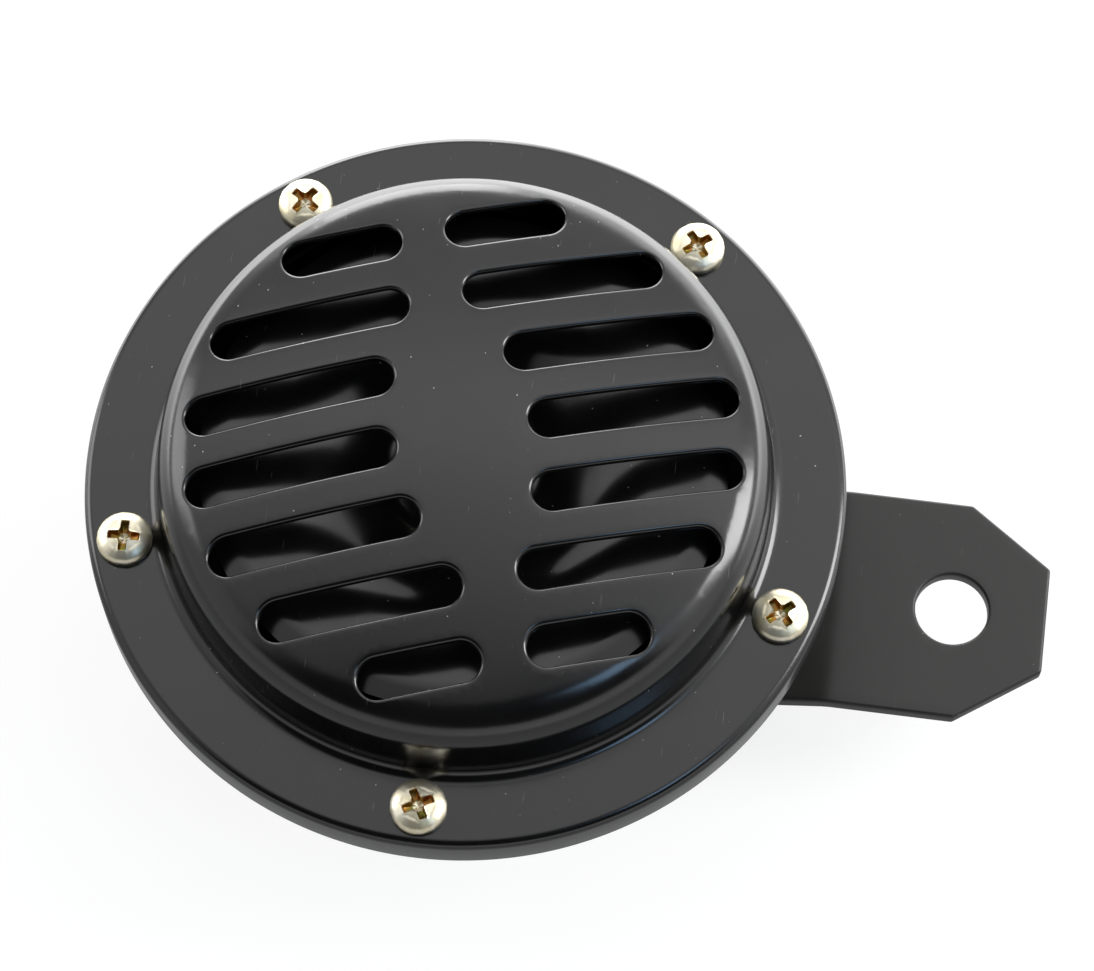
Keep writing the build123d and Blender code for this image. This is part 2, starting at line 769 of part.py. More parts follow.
def blade(place):
    """A 6.3 mm terminal blade on edge, with a narrow soldering tag at its inner end."""
    distance, side = place
    face = Plane(
        origin=(horn_x - distance - blade_thickness / 2, -side, flange_z - chamber_depth),
        x_dir=(0, 1, 0),
        z_dir=(1, 0, 0),
    )
    outside = housing_sheet + terminal_block_height + blade_length
    with BuildPart() as terminal_blade:
        with BuildSketch(face):
            with Locations((0, -outside / 2)):
                Rectangle(blade_width, outside)
            with Locations((0, (terminal_plate_thickness + tag_length) / 2)):
                Rectangle(tag_width, terminal_plate_thickness + tag_length)
            with Locations((0, -outside + blade_hole_from_tip)):
                Circle(blade_hole_radius, mode=Mode.SUBTRACT)
        extrude(amount=blade_thickness)
        tip_corners = terminal_blade.edges().filter_by(Axis.X).group_by(Axis.Z)[0]
        chamfer(tip_corners, blade_tip_chamfer)
    return terminal_blade


terminal_blade_live = blade(blade_places[0])
terminal_blade_live.part.label = "terminal_blade_live"
terminal_blade_earth = blade(blade_places[1])
terminal_blade_earth.part.label = "terminal_blade_earth"

one_terminal_rivet = rivet(
    -chamber_depth + terminal_plate_thickness, -floor_back - terminal_block_height, rivet_head_height
)
with BuildPart() as terminal_rivet:
    with Locations(level(0, 180)):
        with Locations((terminal_distance, 0)):
            add(one_terminal_rivet.part)
terminal_rivet.part.label = "terminal_rivet"

# Leads. Their points are given outward from the horn's axis, sideways as on the planes above, and in depth.


def lead(points):
    """A round wire along straight runs with a bend between each two; both ends are cut square."""
    with BuildPart() as wire:
        with BuildLine():
            route = FilletPolyline(*points, radius=lead_bend_radius)
        with BuildSketch(Plane(route ^ 0)):
            Circle(lead_radius)
        sweep(path=route)
    return wire


def beside_stack(outward, sideways, depth):
    """A point on the breaker's side of the horn."""
    return (horn_x - sideways, outward, flange_z - depth)


def beside_terminals(outward, sideways, depth):
    """A point on the terminals' side of the horn."""
    return (horn_x - outward, -sideways, flange_z - depth)


# From the live terminal's tag down to the start of the winding
tag_face = terminal_distance - blade_thickness / 2
coil_lead = lead(
    [
        beside_terminals(coil_lead_start, -blade_offset, winding_front),
        beside_terminals(coil_lead_start, -blade_offset, lead_depth),
        beside_terminals(tag_face, -blade_offset, lead_depth),
    ]
)
coil_lead.part.label = "coil_lead"

# From the end of the winding up to the back of the moving arm, close to its root
contact_lead_end = stack_block_inner - contact_lead_from_stack
contact_lead = lead(
    [
        beside_stack(contact_lead_start, -contact_lead_offset, winding_front),
        beside_stack(contact_lead_start, -contact_lead_offset, lead_depth),
        beside_stack(contact_lead_end, -contact_lead_offset, lead_depth),
        beside_stack(contact_lead_end, -contact_lead_offset, leaf_back),
    ]
)
contact_lead.part.label = "contact_lead"

# From the back of the fixed arm, beside the leaf, over the coil lead to the earth terminal's tag
return_lead_end = stack_block_inner - return_lead_from_stack
return_lead_depth = lead_depth - return_lead_over_coil_lead
turn_distance = math.hypot(return_lead_end, return_lead_offset)
turn_angle = math.radians(return_lead_turn)
return_lead_end_depth = lead_depth - lead_radius
return_lead = lead(
    [
        beside_stack(return_lead_end, return_lead_offset, fixed_arm_back),
        beside_stack(return_lead_end, return_lead_offset, return_lead_depth),
        (
            horn_x - turn_distance * math.cos(turn_angle),
            turn_distance * math.sin(turn_angle),
            flange_z - return_lead_depth,
        ),
        beside_terminals(tag_face - return_lead_last_run, blade_offset, return_lead_end_depth),
        beside_terminals(tag_face, blade_offset, return_lead_end_depth),
    ]
)
return_lead.part.label = "return_lead"

# Bracket: one strap, clamped flat on the back plate, joggled forward to its tab
with BuildPart() as bracket:
    with BuildSketch(section):
        with BuildLine():
            FilletPolyline(
                (-bracket_root_length, -bracket_back),
                (joggle_start, -bracket_back),
                (joggle_end, -flange_z),
                (tab_end_distance, -flange_z),
                radius=bracket_bend_radius,
            )
            offset(amount=bracket_sheet, side=Side.LEFT)
        make_face()
    extrude(amount=bracket_width / 2, both=True)
    with BuildSketch(level(-bracket_back)):
        with BuildLine():
            half = bracket_width / 2
            Polyline(
                (-bracket_root_length, -half),
                (tab_end_distance - tab_chamfer_along, -half),
                (tab_end_distance, -half + tab_chamfer_across),
                (tab_end_distance, half - tab_chamfer_across),
                (tab_end_distance - tab_chamfer_along, half),
                (-bracket_root_length, half),
                close=True,
            )
        make_face()
    extrude(amount=bracket_back, mode=Mode.INTERSECT)
    root_corners = bracket.edges().filter_by(Axis.Z).group_by(Axis.X)[0]
    fillet(root_corners, bracket_root_corner)
    with BuildSketch(level(-bracket_back)):
        Circle(stud_radius + stud_clearance)
    extrude(amount=bracket_sheet, mode=Mode.SUBTRACT)
    with BuildSketch(Plane.XY):
        Circle(bracket_hole_radius)
    extrude(amount=bracket_sheet, mode=Mode.SUBTRACT)
bracket.part.label = "bracket"

# Washers and nut on the rear stud
bracket_washer = washer(-bracket_back, washer_thickness, washer_radius, stud_radius + stud_clearance)
bracket_washer.part.label = "bracket_washer"
bracket_spring_washer = split_washer(
    -washer_back, spring_washer_thickness, spring_washer_radius, stud_radius + stud_clearance, spring_washer_gap
)
bracket_spring_washer.part.label = "bracket_spring_washer"
bracket_nut = hexagon_nut(-spring_washer_back, nut_height, nut_across_flats, stud_radius, nut_turn)
bracket_nut.part.label = "bracket_nut"

pieces = [
    front_cover,
    cover_screws,
    front_gasket,
    diaphragm,
    rear_gasket,
    rear_housing,
    armature,
    push_ring,
    tone_disc_spacer,
    tone_disc,
    tone_disc_washer,
    tone_disc_nut,
    pole_core,
    yoke_plate,
    yoke_rivets,
    coil_bobbin,
    coil_winding,
    moving_contact_arm,
    moving_contact_point,
    fixed_contact_arm,
    fixed_contact_point,
    contact_lower_insulator,
    contact_middle_insulator,
    contact_upper_insulator,
    contact_rivets,
    adjusting_screw,
    adjusting_nut,
    terminal_block,
    terminal_inner_plate,
    terminal_blade_live,
    terminal_blade_earth,
    terminal_rivet,
    coil_lead,
    contact_lead,
    return_lead,
    bracket,
    bracket_washer,
    bracket_spring_washer,
    bracket_nut,
]
for piece in pieces:
    export_step(piece.part, f"parts/{piece.part.label}.step")
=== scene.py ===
import math

import bmesh
import bpy
import numpy as np
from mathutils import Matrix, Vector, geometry


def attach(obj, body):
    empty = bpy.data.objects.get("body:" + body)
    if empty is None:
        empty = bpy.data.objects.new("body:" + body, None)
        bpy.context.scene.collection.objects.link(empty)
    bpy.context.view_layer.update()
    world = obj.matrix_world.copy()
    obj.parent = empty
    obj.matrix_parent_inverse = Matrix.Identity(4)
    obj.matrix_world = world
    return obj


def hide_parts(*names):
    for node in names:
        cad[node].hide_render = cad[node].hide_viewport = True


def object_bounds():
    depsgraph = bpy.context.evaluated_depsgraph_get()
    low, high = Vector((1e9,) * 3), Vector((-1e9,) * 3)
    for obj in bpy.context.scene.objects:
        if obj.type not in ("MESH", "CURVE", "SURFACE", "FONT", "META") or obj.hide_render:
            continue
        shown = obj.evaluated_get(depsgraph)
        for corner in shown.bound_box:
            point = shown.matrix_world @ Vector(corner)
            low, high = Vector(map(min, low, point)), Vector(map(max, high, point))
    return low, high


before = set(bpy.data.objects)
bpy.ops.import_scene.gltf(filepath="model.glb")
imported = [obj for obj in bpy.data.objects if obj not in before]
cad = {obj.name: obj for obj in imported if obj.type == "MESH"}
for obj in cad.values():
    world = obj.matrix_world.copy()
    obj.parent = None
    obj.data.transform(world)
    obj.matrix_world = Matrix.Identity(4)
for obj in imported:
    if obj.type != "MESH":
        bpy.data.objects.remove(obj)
cad_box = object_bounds()

# Front cover: one stamping of 1 mm steel, drawn to a dome on a straight wall, pierced with fourteen slots
# and turned down at the rim. It is baked satin black, and the die has rounded the face edge of each slot.
MM = 0.001
HORN_X, FLANGE_Z = -73.2, 32.2
RIM_RADIUS, RIM_DEPTH, RIM_BEND = 55.0, 6.7, 1.3
RIM_LIP_FACE, RIM_LIP_BACK = 0.25, 0.2
WALL_FOOT, WALL_TOP, FOOT_BEND, SHOULDER = 44.2, 43.2, 1.9, 6.4
DOME_HEIGHT, DOME_BALL, COVER_SHEET = 18.8, 160.0, 1.0
DISC_RADIUS, DISC_SPACING = 40.8, 0.85
SLOT_WIDTH, SLOT_PITCH, SLOT_FIELD, SLOT_TURN = 5.7, 10.72, 36.7, math.radians(18)
SLOT_INNER_ENDS = (12.3, 10.8, 6.8, 6.1)
SLOT_EDGE, SLOT_BURR, SLOT_STEP = 0.6, 0.12, 1.1
AROUND, CAP_POINTS, ROLL_POINTS, SWEEP_POINTS = 360, 25, 8, 30
MERGE_GAP, PLAN_GAP = 2e-7, 1e-6


def linear(colour):
    """An sRGB hex colour as linear red, green, blue and alpha."""
    parts = [int(colour[i : i + 2], 16) / 255 for i in (0, 2, 4)]
    return [p / 12.92 if p <= 0.04045 else ((p + 0.055) / 1.055) ** 2.4 for p in parts] + [1.0]


def add(tree, kind, sockets=(), **settings):
    """Adds a node: settings are its own properties, and sockets gives a value or a link for each input."""
    made = tree.nodes.new(kind)
    for key, value in settings.items():
        setattr(made, key, value)
    for key, value in dict(sockets).items():
        if isinstance(value, bpy.types.NodeSocket):
            tree.links.new(value, made.inputs[key])
        else:
            made.inputs[key].default_value = value
    return made


def maths(tree, operation, *values):
    """A sum on one or two numbers or links."""
    return add(tree, "ShaderNodeMath", dict(enumerate(values)), operation=operation).outputs["Value"]


def ranged(tree, value, before, after=(0.0, 1.0), kind="LINEAR"):
    """The value carried from the range before to the range after, and held at both ends."""
    sockets = {"Value": value, "From Min": before[0], "From Max": before[1], "To Min": after[0], "To Max": after[1]}
    return add(tree, "ShaderNodeMapRange", sockets, interpolation_type=kind).outputs["Result"]


def mixed(tree, share, first, second):
    """Two linear colours, or links to them, mixed by a share."""
    sockets = {"Factor": share, "A": first, "B": second}
    return add(tree, "ShaderNodeMix", sockets, data_type="RGBA").outputs["Result"]


def noise(tree, where, size, detail, rough=0.5):
    """A noise whose patches are about size mm across."""
    sockets = {"Vector": where, "Scale": 1 / (size * MM), "Detail": detail, "Roughness": rough}
    return add(tree, "ShaderNodeTexNoise", sockets).outputs["Fac"]


def bumped(tree, height, strength, depth):
    """The normal of a skin that stands depth mm high where the height is one."""
    sockets = {"Height": height, "Strength": strength, "Distance": depth * MM}
    return add(tree, "ShaderNodeBump", sockets).outputs["Normal"]


def new_material(name):
    """A material, its node tree, its shader and the object's own coordinates."""
    material = bpy.data.materials.new(name)
    material.use_nodes = True
    tree = material.node_tree
    return material, tree, tree.nodes["Principled BSDF"], add(tree, "ShaderNodeTexCoord").outputs["Object"]


def feed(tree, shader, sources):
    """Links each source to the shader's socket of that name."""
    for socket, source in sources.items():
        tree.links.new(source, shader.inputs[socket])


def baked_paint(name, colour, roughness, peel=0.35, dust=0.0, film=1.65):
    """Paint baked on steel, of a refractive index film. It has a faint orange peel, about 1.2 mm from crest to crest,
    its gloss wanders over a few millimetres, and it holds specks of dust 0.1 mm across and hairlines some 4 mm long."""
    material, tree, paint, where = new_material(name)
    paint.inputs["IOR"].default_value = film
    gloss = ranged(tree, noise(tree, where, 9, 3.0), (0.3, 0.7), (roughness - 0.03, roughness + 0.04))
    specks = add(tree, "ShaderNodeTexVoronoi", {"Vector": where, "Scale": 1 / (1.3 * MM), "Randomness": 1.0})
    size = add(tree, "ShaderNodeSeparateColor", {"Color": specks.outputs["Color"]}).outputs["Red"]
    reach = ranged(tree, size, (0.78, 1.0), (0.02, 0.085))
    grain = maths(tree, "LESS_THAN", specks.outputs["Distance"], reach)
    scratch_scale = (1 / (0.3 * MM), 1 / (5 * MM), 1 / (5 * MM))
    drawn = add(tree, "ShaderNodeMapping", {"Vector": where, "Rotation": (0, 0, 1.2), "Scale": scratch_scale})
    streak = add(tree, "ShaderNodeTexNoise", {"Vector": drawn.outputs["Vector"], "Scale": 1.0, "Detail": 1.0})
    hair = ranged(tree, streak.outputs["Fac"], (0.77, 0.81), (0.0, 0.12))
    strength = maths(tree, "MULTIPLY", maths(tree, "MAXIMUM", grain, hair), dust)
    tint = mixed(tree, strength, linear(colour), linear("b9b6ad"))
    skin = bumped(tree, noise(tree, where, 1.2, 2.0), peel, 0.012)
    feed(tree, paint, {"Base Color": tint, "Roughness": gloss, "Normal": skin})
    return material


def grid_faces(rows, columns, rows_close=False, columns_close=False):
    """Quads between the neighbours in a grid of points stored row by row; a side that closes joins its ends."""
    row = np.arange(rows if rows_close else rows - 1)[:, None]
    column = np.arange(columns if columns_close else columns - 1)[None, :]
    corners = [
        ((row + down) % rows) * columns + (column + along) % columns
        for down, along in ((0, 0), (1, 0), (1, 1), (0, 1))
    ]
    return np.stack(np.broadcast_arrays(*corners), axis=-1).reshape(-1, 4)


def piece(name, shells, material, crease=40.0):
    """One object from shells of (points in mm, faces): doubles merged, faces turned out, edges past crease sharp."""
    points, faces, start = [], [], 0
    for shell_points, shell_faces in shells:
        points.append(np.asarray(shell_points).reshape(-1, 3))
        faces += (np.asarray(shell_faces) + start).tolist()
        start += len(points[-1])
    mesh = bpy.data.meshes.new(name)
    mesh.from_pydata((np.concatenate(points) * MM).tolist(), [], faces)
    work = bmesh.new()
    work.from_mesh(mesh)
    bmesh.ops.remove_doubles(work, verts=work.verts, dist=MERGE_GAP)
    bmesh.ops.recalc_face_normals(work, faces=work.faces)
    work.to_mesh(mesh)
    work.free()
    mesh.shade_smooth()
    mesh.set_sharp_from_angle(angle=math.radians(crease))
    mesh.materials.append(material)
    made = bpy.data.objects.new(name, mesh)
    bpy.context.collection.objects.link(made)
    return made


def polar(radius, angle):
    """Plan points (radius cos a, radius sin a)."""
    return np.column_stack([radius * np.cos(angle), radius * np.sin(angle)])


def round_axis(centre, radius, angle, height):
    """Points (radius cos a, radius sin a, height) round an upright axis through the centre."""
    x, y = centre[0] + radius * np.cos(angle), centre[1] + radius * np.sin(angle)
    return np.stack(np.broadcast_arrays(x, y, height), axis=-1)


def rounded(corners, radii, step=0.25, closed=False):
    """A line through corners with an arc of its own radius in each: the arc touches both sides at a distance of
    radius / tan(half the corner's angle), and its points lie about a step apart. A radius of 0 keeps the corner."""
    corners = [np.array(c, float) for c in corners]
    line = []
    for i, (at, radius) in enumerate(zip(corners, radii)):
        if radius == 0 or (not closed and i in (0, len(corners) - 1)):
            line.append(at[None])
            continue
        back = corners[i - 1] - at
        ahead = corners[(i + 1) % len(corners)] - at
        back /= np.linalg.norm(back)
        ahead /= np.linalg.norm(ahead)
        half = math.acos(np.clip(back @ ahead, -1, 1)) / 2
        middle = (back + ahead) / np.linalg.norm(back + ahead)
        centre = at + middle * radius / math.sin(half)
        first = at + back * radius / math.tan(half) - centre
        turn = math.pi - 2 * half
        if first[0] * middle[1] - first[1] * middle[0] < 0:
            turn = -turn
        share = np.linspace(0, -turn, max(4, int(abs(turn) * radius / step) + 2))
        cos, sin = np.cos(share), np.sin(share)
        line.append(centre + np.stack([first[0] * cos - first[1] * sin, first[0] * sin + first[1] * cos], axis=1))
    return np.concatenate(line)


def beside(line, distance, closed=False):
    """The line moved sideways: each point goes the distance to the right of the way its two neighbours run."""
    way = np.roll(line, -1, axis=0) - np.roll(line, 1, axis=0) if closed else np.gradient(line, axis=0)
    way = way / np.linalg.norm(way, axis=1, keepdims=True)
    return line + distance * np.stack([way[:, 1], -way[:, 0]], axis=1)


def turned(profile, centre=(HORN_X, 0.0), steps=AROUND):
    """A lathe surface: each point (radius, height over the flange) of the profile goes round the axis."""
    angle = np.linspace(0, 2 * math.pi, steps, endpoint=False)[:, None]
    radius, height = np.asarray(profile)[:, 0], np.asarray(profile)[:, 1]
    points = round_axis(centre, radius, angle, FLANGE_Z + height)
    return points.reshape(-1, 3), grid_faces(steps, len(profile), rows_close=True)


def inside(points, loop):
    """Which points lie inside a closed loop: those from which a ray along +X crosses it an odd number of times."""
    x, y = points[:, 0, None], points[:, 1, None]
    ax, ay = loop[:, 0], loop[:, 1]
    bx, by = np.roll(ax, -1), np.roll(ay, -1)
    spans = (ay > y) != (by > y)
    rise = np.where(by == ay, 1.0, by - ay)
    return (spans & (x < ax + (y - ay) * (bx - ax) / rise)).sum(axis=1) % 2 == 1


def pierced_sheet(outline, holes, sheet, face_round, back_round, spacing, face, back, open_outline=False):
    """A pierced sheet laid out in plan: the outline runs anticlockwise and each hole clockwise, so that out of the
    metal is always to the right. face and back carry plan points to the two sides of the sheet. The flat parts are
    an even mesh of triangles, and each cut edge rolls over from the face, runs through and rolls to the back."""
    arc = np.linspace(0, math.pi / 2, ROLL_POINTS)
    out = np.concatenate([face_round * np.sin(arc), face_round - back_round + back_round * np.cos(arc)])
    depth = np.concatenate([face_round * (1 - np.cos(arc)), sheet - back_round + back_round * np.sin(arc)])
    borders = [outline if open_outline else beside(outline, -face_round, closed=True)]
    borders += [beside(hole, -face_round, closed=True) for hole in holes]
    low, high = outline.min(axis=0), outline.max(axis=0)
    x, y = np.meshgrid(np.arange(low[0], high[0], spacing), np.arange(low[1], high[1], spacing * math.sqrt(0.75)))
    x[1::2] += spacing / 2
    field = np.stack([x.ravel(), y.ravel()], axis=1)
    keep = inside(field, beside(borders[0], -spacing / 2, closed=True))
    for border in borders[1:]:
        keep &= ~inside(field, beside(border, -spacing / 2, closed=True))
    plan = np.concatenate(borders + [field[keep]])
    edges, start = [], 0
    for border in borders:
        count = len(border)
        edges += [(start + i, start + (i + 1) % count) for i in range(count)]
        start += count
    points, _, triangles, *_ = geometry.delaunay_2d_cdt(plan.tolist(), edges, [], 0, PLAN_GAP)
    points, triangles = np.array([tuple(p) for p in points]), np.array(triangles)
    middles = points[triangles].mean(axis=1)
    keep = inside(middles, borders[0])
    for border in borders[1:]:
        keep &= ~inside(middles, border)
    triangles = triangles[keep]
    shells = [(face(points), triangles), (back(points), triangles[:, ::-1])]
    for loop in holes if open_outline else [outline, *holes]:
        rows = []
        for way_out, way_down in zip(out, depth / sheet):
            edge = beside(loop, way_out - face_round, closed=True)
            rows.append(face(edge) * (1 - way_down) + back(edge) * way_down)
        shells.append((np.concatenate(rows), grid_faces(len(rows), len(loop), columns_close=True)))
    return shells


# The shoulder's ring touches the dome's ball from inside and the wall: its centre lies where the two lines meet
# that run one shoulder radius inside of them.
wall_top = DOME_HEIGHT - DOME_BALL + math.sqrt(DOME_BALL**2 - WALL_TOP**2)
wall_way = np.array([WALL_TOP - WALL_FOOT, wall_top]) / math.hypot(WALL_TOP - WALL_FOOT, wall_top)
wall_out = np.array([wall_way[1], -wall_way[0]])
ball_centre = np.array([0.0, DOME_HEIGHT - DOME_BALL])
foot = np.array([WALL_FOOT, 0.0]) - SHOULDER * wall_out - ball_centre
along = -foot @ wall_way + math.sqrt((foot @ wall_way) ** 2 - foot @ foot + (DOME_BALL - SHOULDER) ** 2)
shoulder_centre = ball_centre + foot + along * wall_way
dome_way = (shoulder_centre - ball_centre) / np.linalg.norm(shoulder_centre - ball_centre)


def dome_height(radius, depth=0.0):
    """Height over the flange at a radius, at a depth in the sheet: sqrt(ball^2 - radius^2) over the ball's centre,
    and past the tangent the same with the shoulder's ring."""
    ball = ball_centre[1] + np.sqrt((DOME_BALL - depth) ** 2 - radius**2)
    from_ring = np.clip(radius - shoulder_centre[0], 0, SHOULDER - depth)
    ring = shoulder_centre[1] + np.sqrt((SHOULDER - depth) ** 2 - from_ring**2)
    return np.where(radius > shoulder_centre[0] + (SHOULDER - depth) * dome_way[0], ring, ball)


def dome(plan, depth=0.0):
    """Plan points lifted to the dome."""
    height = FLANGE_Z + dome_height(np.hypot(plan[:, 0], plan[:, 1]), depth)
    return np.column_stack([plan[:, 0] + HORN_X, plan[:, 1], height])


def slot_hole(inner, outer, row_y, side):
    """A slot's outline, clockwise: two half circles joined by straight sides, moved to its row and turned."""
    radius = SLOT_WIDTH / 2
    cap = polar(radius, np.linspace(-math.pi / 2, math.pi / 2, CAP_POINTS))
    side_x = np.linspace(outer, inner, max(4, int((outer - inner) / SLOT_STEP)))[1:-1]
    top = np.column_stack([side_x, np.full(len(side_x), row_y + radius)])
    bottom = np.column_stack([side_x[::-1], np.full(len(side_x), row_y - radius)])
    loop = side * np.concatenate([cap + (outer, row_y), top, (inner, row_y) - cap, bottom])
    cos, sin = math.cos(SLOT_TURN), math.sin(SLOT_TURN)
    return (loop @ np.array([[cos, sin], [-sin, cos]]))[::-1]


slots = []
for row, inner in enumerate(SLOT_INNER_ENDS):
    for side in (1, -1):
        for row_y in {row * SLOT_PITCH, -row * SLOT_PITCH}:
            slots.append(slot_hole(inner, math.sqrt(SLOT_FIELD**2 - row_y**2), row_y, side))
disc = polar(DISC_RADIUS, np.linspace(0, 2 * math.pi, AROUND, endpoint=False))
cover_shells = pierced_sheet(
    disc,
    slots,
    COVER_SHEET,
    SLOT_EDGE,
    SLOT_BURR,
    DISC_SPACING,
    dome,
    lambda plan: dome(plan, COVER_SHEET),
    open_outline=True,
)
sweep_from = math.acos((DISC_RADIUS - shoulder_centre[0]) / SHOULDER)
sweep = np.linspace(sweep_from, math.atan2(wall_out[1], wall_out[0]), SWEEP_POINTS)
shoulder_line = shoulder_centre + polar(SHOULDER, sweep)
flange_corners = [shoulder_line[-1], (WALL_FOOT, 0), (RIM_RADIUS, 0), (RIM_RADIUS, -RIM_DEPTH)]
outside = np.concatenate([shoulder_line, rounded(flange_corners, [0, FOOT_BEND, RIM_BEND, 0], 0.12)[1:]])
inner_line = beside(outside, COVER_SHEET)
inner_line = inner_line[inner_line[:, 0] > DISC_RADIUS + 0.05]
inner_line = np.concatenate([[(DISC_RADIUS, float(dome_height(DISC_RADIUS, COVER_SHEET)))], inner_line])
above_lip = (0, 0.6)
lip_corners = [outside[-1] + above_lip, outside[-1], inner_line[-1], inner_line[-1] + above_lip]
rim_end = rounded(lip_corners, [0, RIM_LIP_FACE, RIM_LIP_BACK, 0], 0.08)
cover_shells.append(turned(np.concatenate([outside[:-1], rim_end[1:-1], inner_line[-2::-1]])))
# Satin black: it mirrors the tent softly, and its dust catches the eye as small pale specks.
cover_paint = baked_paint("satin_black_baked_enamel", "0b0b0b", 0.185, dust=0.9)
cover = piece("cover_stamping", cover_shells, cover_paint)
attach(cover, "horn")
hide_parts("front_cover")

# Cover screws: five M4 pan heads with a cross recess, rolled from steel wire and plated with yellow passivated
# zinc, which is pale gold on the head and olive to orange in the recess. The threads end past the housing's collars.
SCREW_HEAD, SCREW_HEIGHT, SCREW_CROWN, HEAD_ROUND, HEAD_SHRINK = 4.0, 2.6, 1.3, 0.45, 0.55
SCREW_SHANK, SCREW_LENGTH, SCREW_PITCH, THREAD_DEPTH = 2.0, 8.0, 0.7, 0.54
SCREW_DISH, DISH_DEPTH, DISH_SLOPE = 2.55, 0.1, 0.35
RECESS_TIP, RECESS_HALF, RECESS_ROOT, RECESS_WING_ROUND = 2.3, 0.6, 0.5, 0.24
RECESS_FLOOR, RECESS_FLOOR_DEPTH, RECESS_POINT_DEPTH, RECESS_MIDDLE = 0.70, 1.5, 0.45, 0.75
SCREW_CIRCLE, FIRST_SCREW, SCREW_TURNS = 49.6, 54.3, (37, 55, 2, 28, 41)
THREAD_AROUND, THREAD_PER_TURN = 36, 8
crown_ball = (SCREW_HEAD**2 + SCREW_CROWN**2) / (2 * SCREW_CROWN)


def cross_outline():
    """The cross recess in plan: four wings of one half width that reach the tip radius, with rounded root corners."""
    quarter = [(RECESS_TIP, -RECESS_HALF), (RECESS_TIP, RECESS_HALF), (RECESS_HALF, RECESS_HALF)]
    corners = []
    for k in range(4):
        cos, sin = math.cos(k * math.pi / 2), math.sin(k * math.pi / 2)
        corners += [(x * cos - y * sin, x * sin + y * cos) for x, y in quarter]
    return rounded(corners, 4 * [RECESS_WING_ROUND, RECESS_WING_ROUND, RECESS_ROOT], 0.08, closed=True)


def crown(ring):
    """The head's top over plan points: a ball's cap, with a shallow dish that the punch leaves round the recess."""
    radius = np.hypot(ring[:, 0], ring[:, 1])
    share = np.clip((SCREW_DISH - radius) / DISH_SLOPE, 0, 1)
    return SCREW_HEIGHT - crown_ball + np.sqrt(crown_ball**2 - radius**2) - DISH_DEPTH * share**2 * (3 - 2 * share)


def pan_head(turn):
    """Rings from the seat up over the pan head to the recess, down its walls and across its floor. Each ring is a
    circle or a cross, and the rings between two of them are their mixtures. The punch has thrown up an uneven burr
    round the recess: a sum of two waves along its edge."""
    mouth = cross_outline()
    angle = np.arctan2(mouth[:, 1], mouth[:, 0])
    circle = polar(1.0, angle)
    burr = 0.05 + 0.03 * np.sin(5 * angle + 3 * turn) + 0.03 * np.sin(13 * angle + turn)
    rings = []
    side = SCREW_HEIGHT - SCREW_CROWN - HEAD_ROUND
    seat = [(1.9, 0.0), (SCREW_HEAD - 0.35, 0.0), (SCREW_HEAD - 0.1, 0.08), (SCREW_HEAD, 0.35), (SCREW_HEAD, side)]
    for radius, height in seat:
        rings.append(np.column_stack([radius * circle, np.full(len(circle), height)]))
    for lean in np.linspace(0.1, 1.0, 9) * math.pi / 2:
        radius = SCREW_HEAD - HEAD_SHRINK * (1 - math.cos(lean))
        height = side + (crown(radius * circle)[0] - side) * math.sin(lean)
        rings.append(np.column_stack([radius * circle, np.full(len(circle), height)]))
    for share in np.linspace(0.1, 1.0, 12):
        ring = radius * circle * (1 - share) + mouth * 1.05 * share
        rings.append(np.column_stack([ring, crown(ring)]))
    rings[-1][:, 2] += burr * 0.7
    for shrink, drop in ((1.02, -burr), (1.0, 0.015), (0.97, 0.2), (0.88, 0.9), (RECESS_FLOOR, 1.3)):
        ring = mouth * shrink
        rings.append(np.column_stack([ring, crown(ring) - drop]))
    for share in np.linspace(0.3, 1.0, 4):
        height = SCREW_HEIGHT - RECESS_FLOOR_DEPTH - RECESS_POINT_DEPTH * share
        rings.append(np.column_stack([mouth * RECESS_FLOOR * (1 - share), np.full(len(mouth), height)]))
    points = np.concatenate(rings)
    cos, sin = math.cos(turn), math.sin(turn)
    points[:, :2] = points[:, :2] @ np.array([[cos, sin], [-sin, cos]])
    return points, grid_faces(len(rings), len(mouth), columns_close=True)


def threaded(radius, pitch, bottom, top, centre):
    """A screw thread: radius - depth * (a ridge wave of height / pitch - angle / full turn), tapered at its end."""
    depth = THREAD_DEPTH * pitch
    height = np.linspace(bottom, top, int((top - bottom) / pitch * THREAD_PER_TURN))[None, :]
    angle = np.linspace(0, 2 * math.pi, THREAD_AROUND, endpoint=False)[:, None]
    phase = (height / pitch - angle / (2 * math.pi)) % 1.0
    ridge = np.clip(np.abs(phase - 0.5) * 2.4 - 0.1, 0, 1)
    lead = np.clip((height - bottom) / (0.8 * pitch), 0, 1)
    size = radius - depth * ridge - 0.45 * depth * (1 - lead)
    rows = round_axis(centre, size, angle, height).reshape(-1, 3)
    faces = grid_faces(THREAD_AROUND, height.shape[1], rows_close=True)
    cap = np.arange(THREAD_AROUND) * height.shape[1]
    tip = np.full(THREAD_AROUND, len(rows))
    fan = np.stack([cap, np.roll(cap, -1), tip, tip], axis=1)
    return np.concatenate([rows, [(*centre, bottom)]]), np.concatenate([faces, fan])


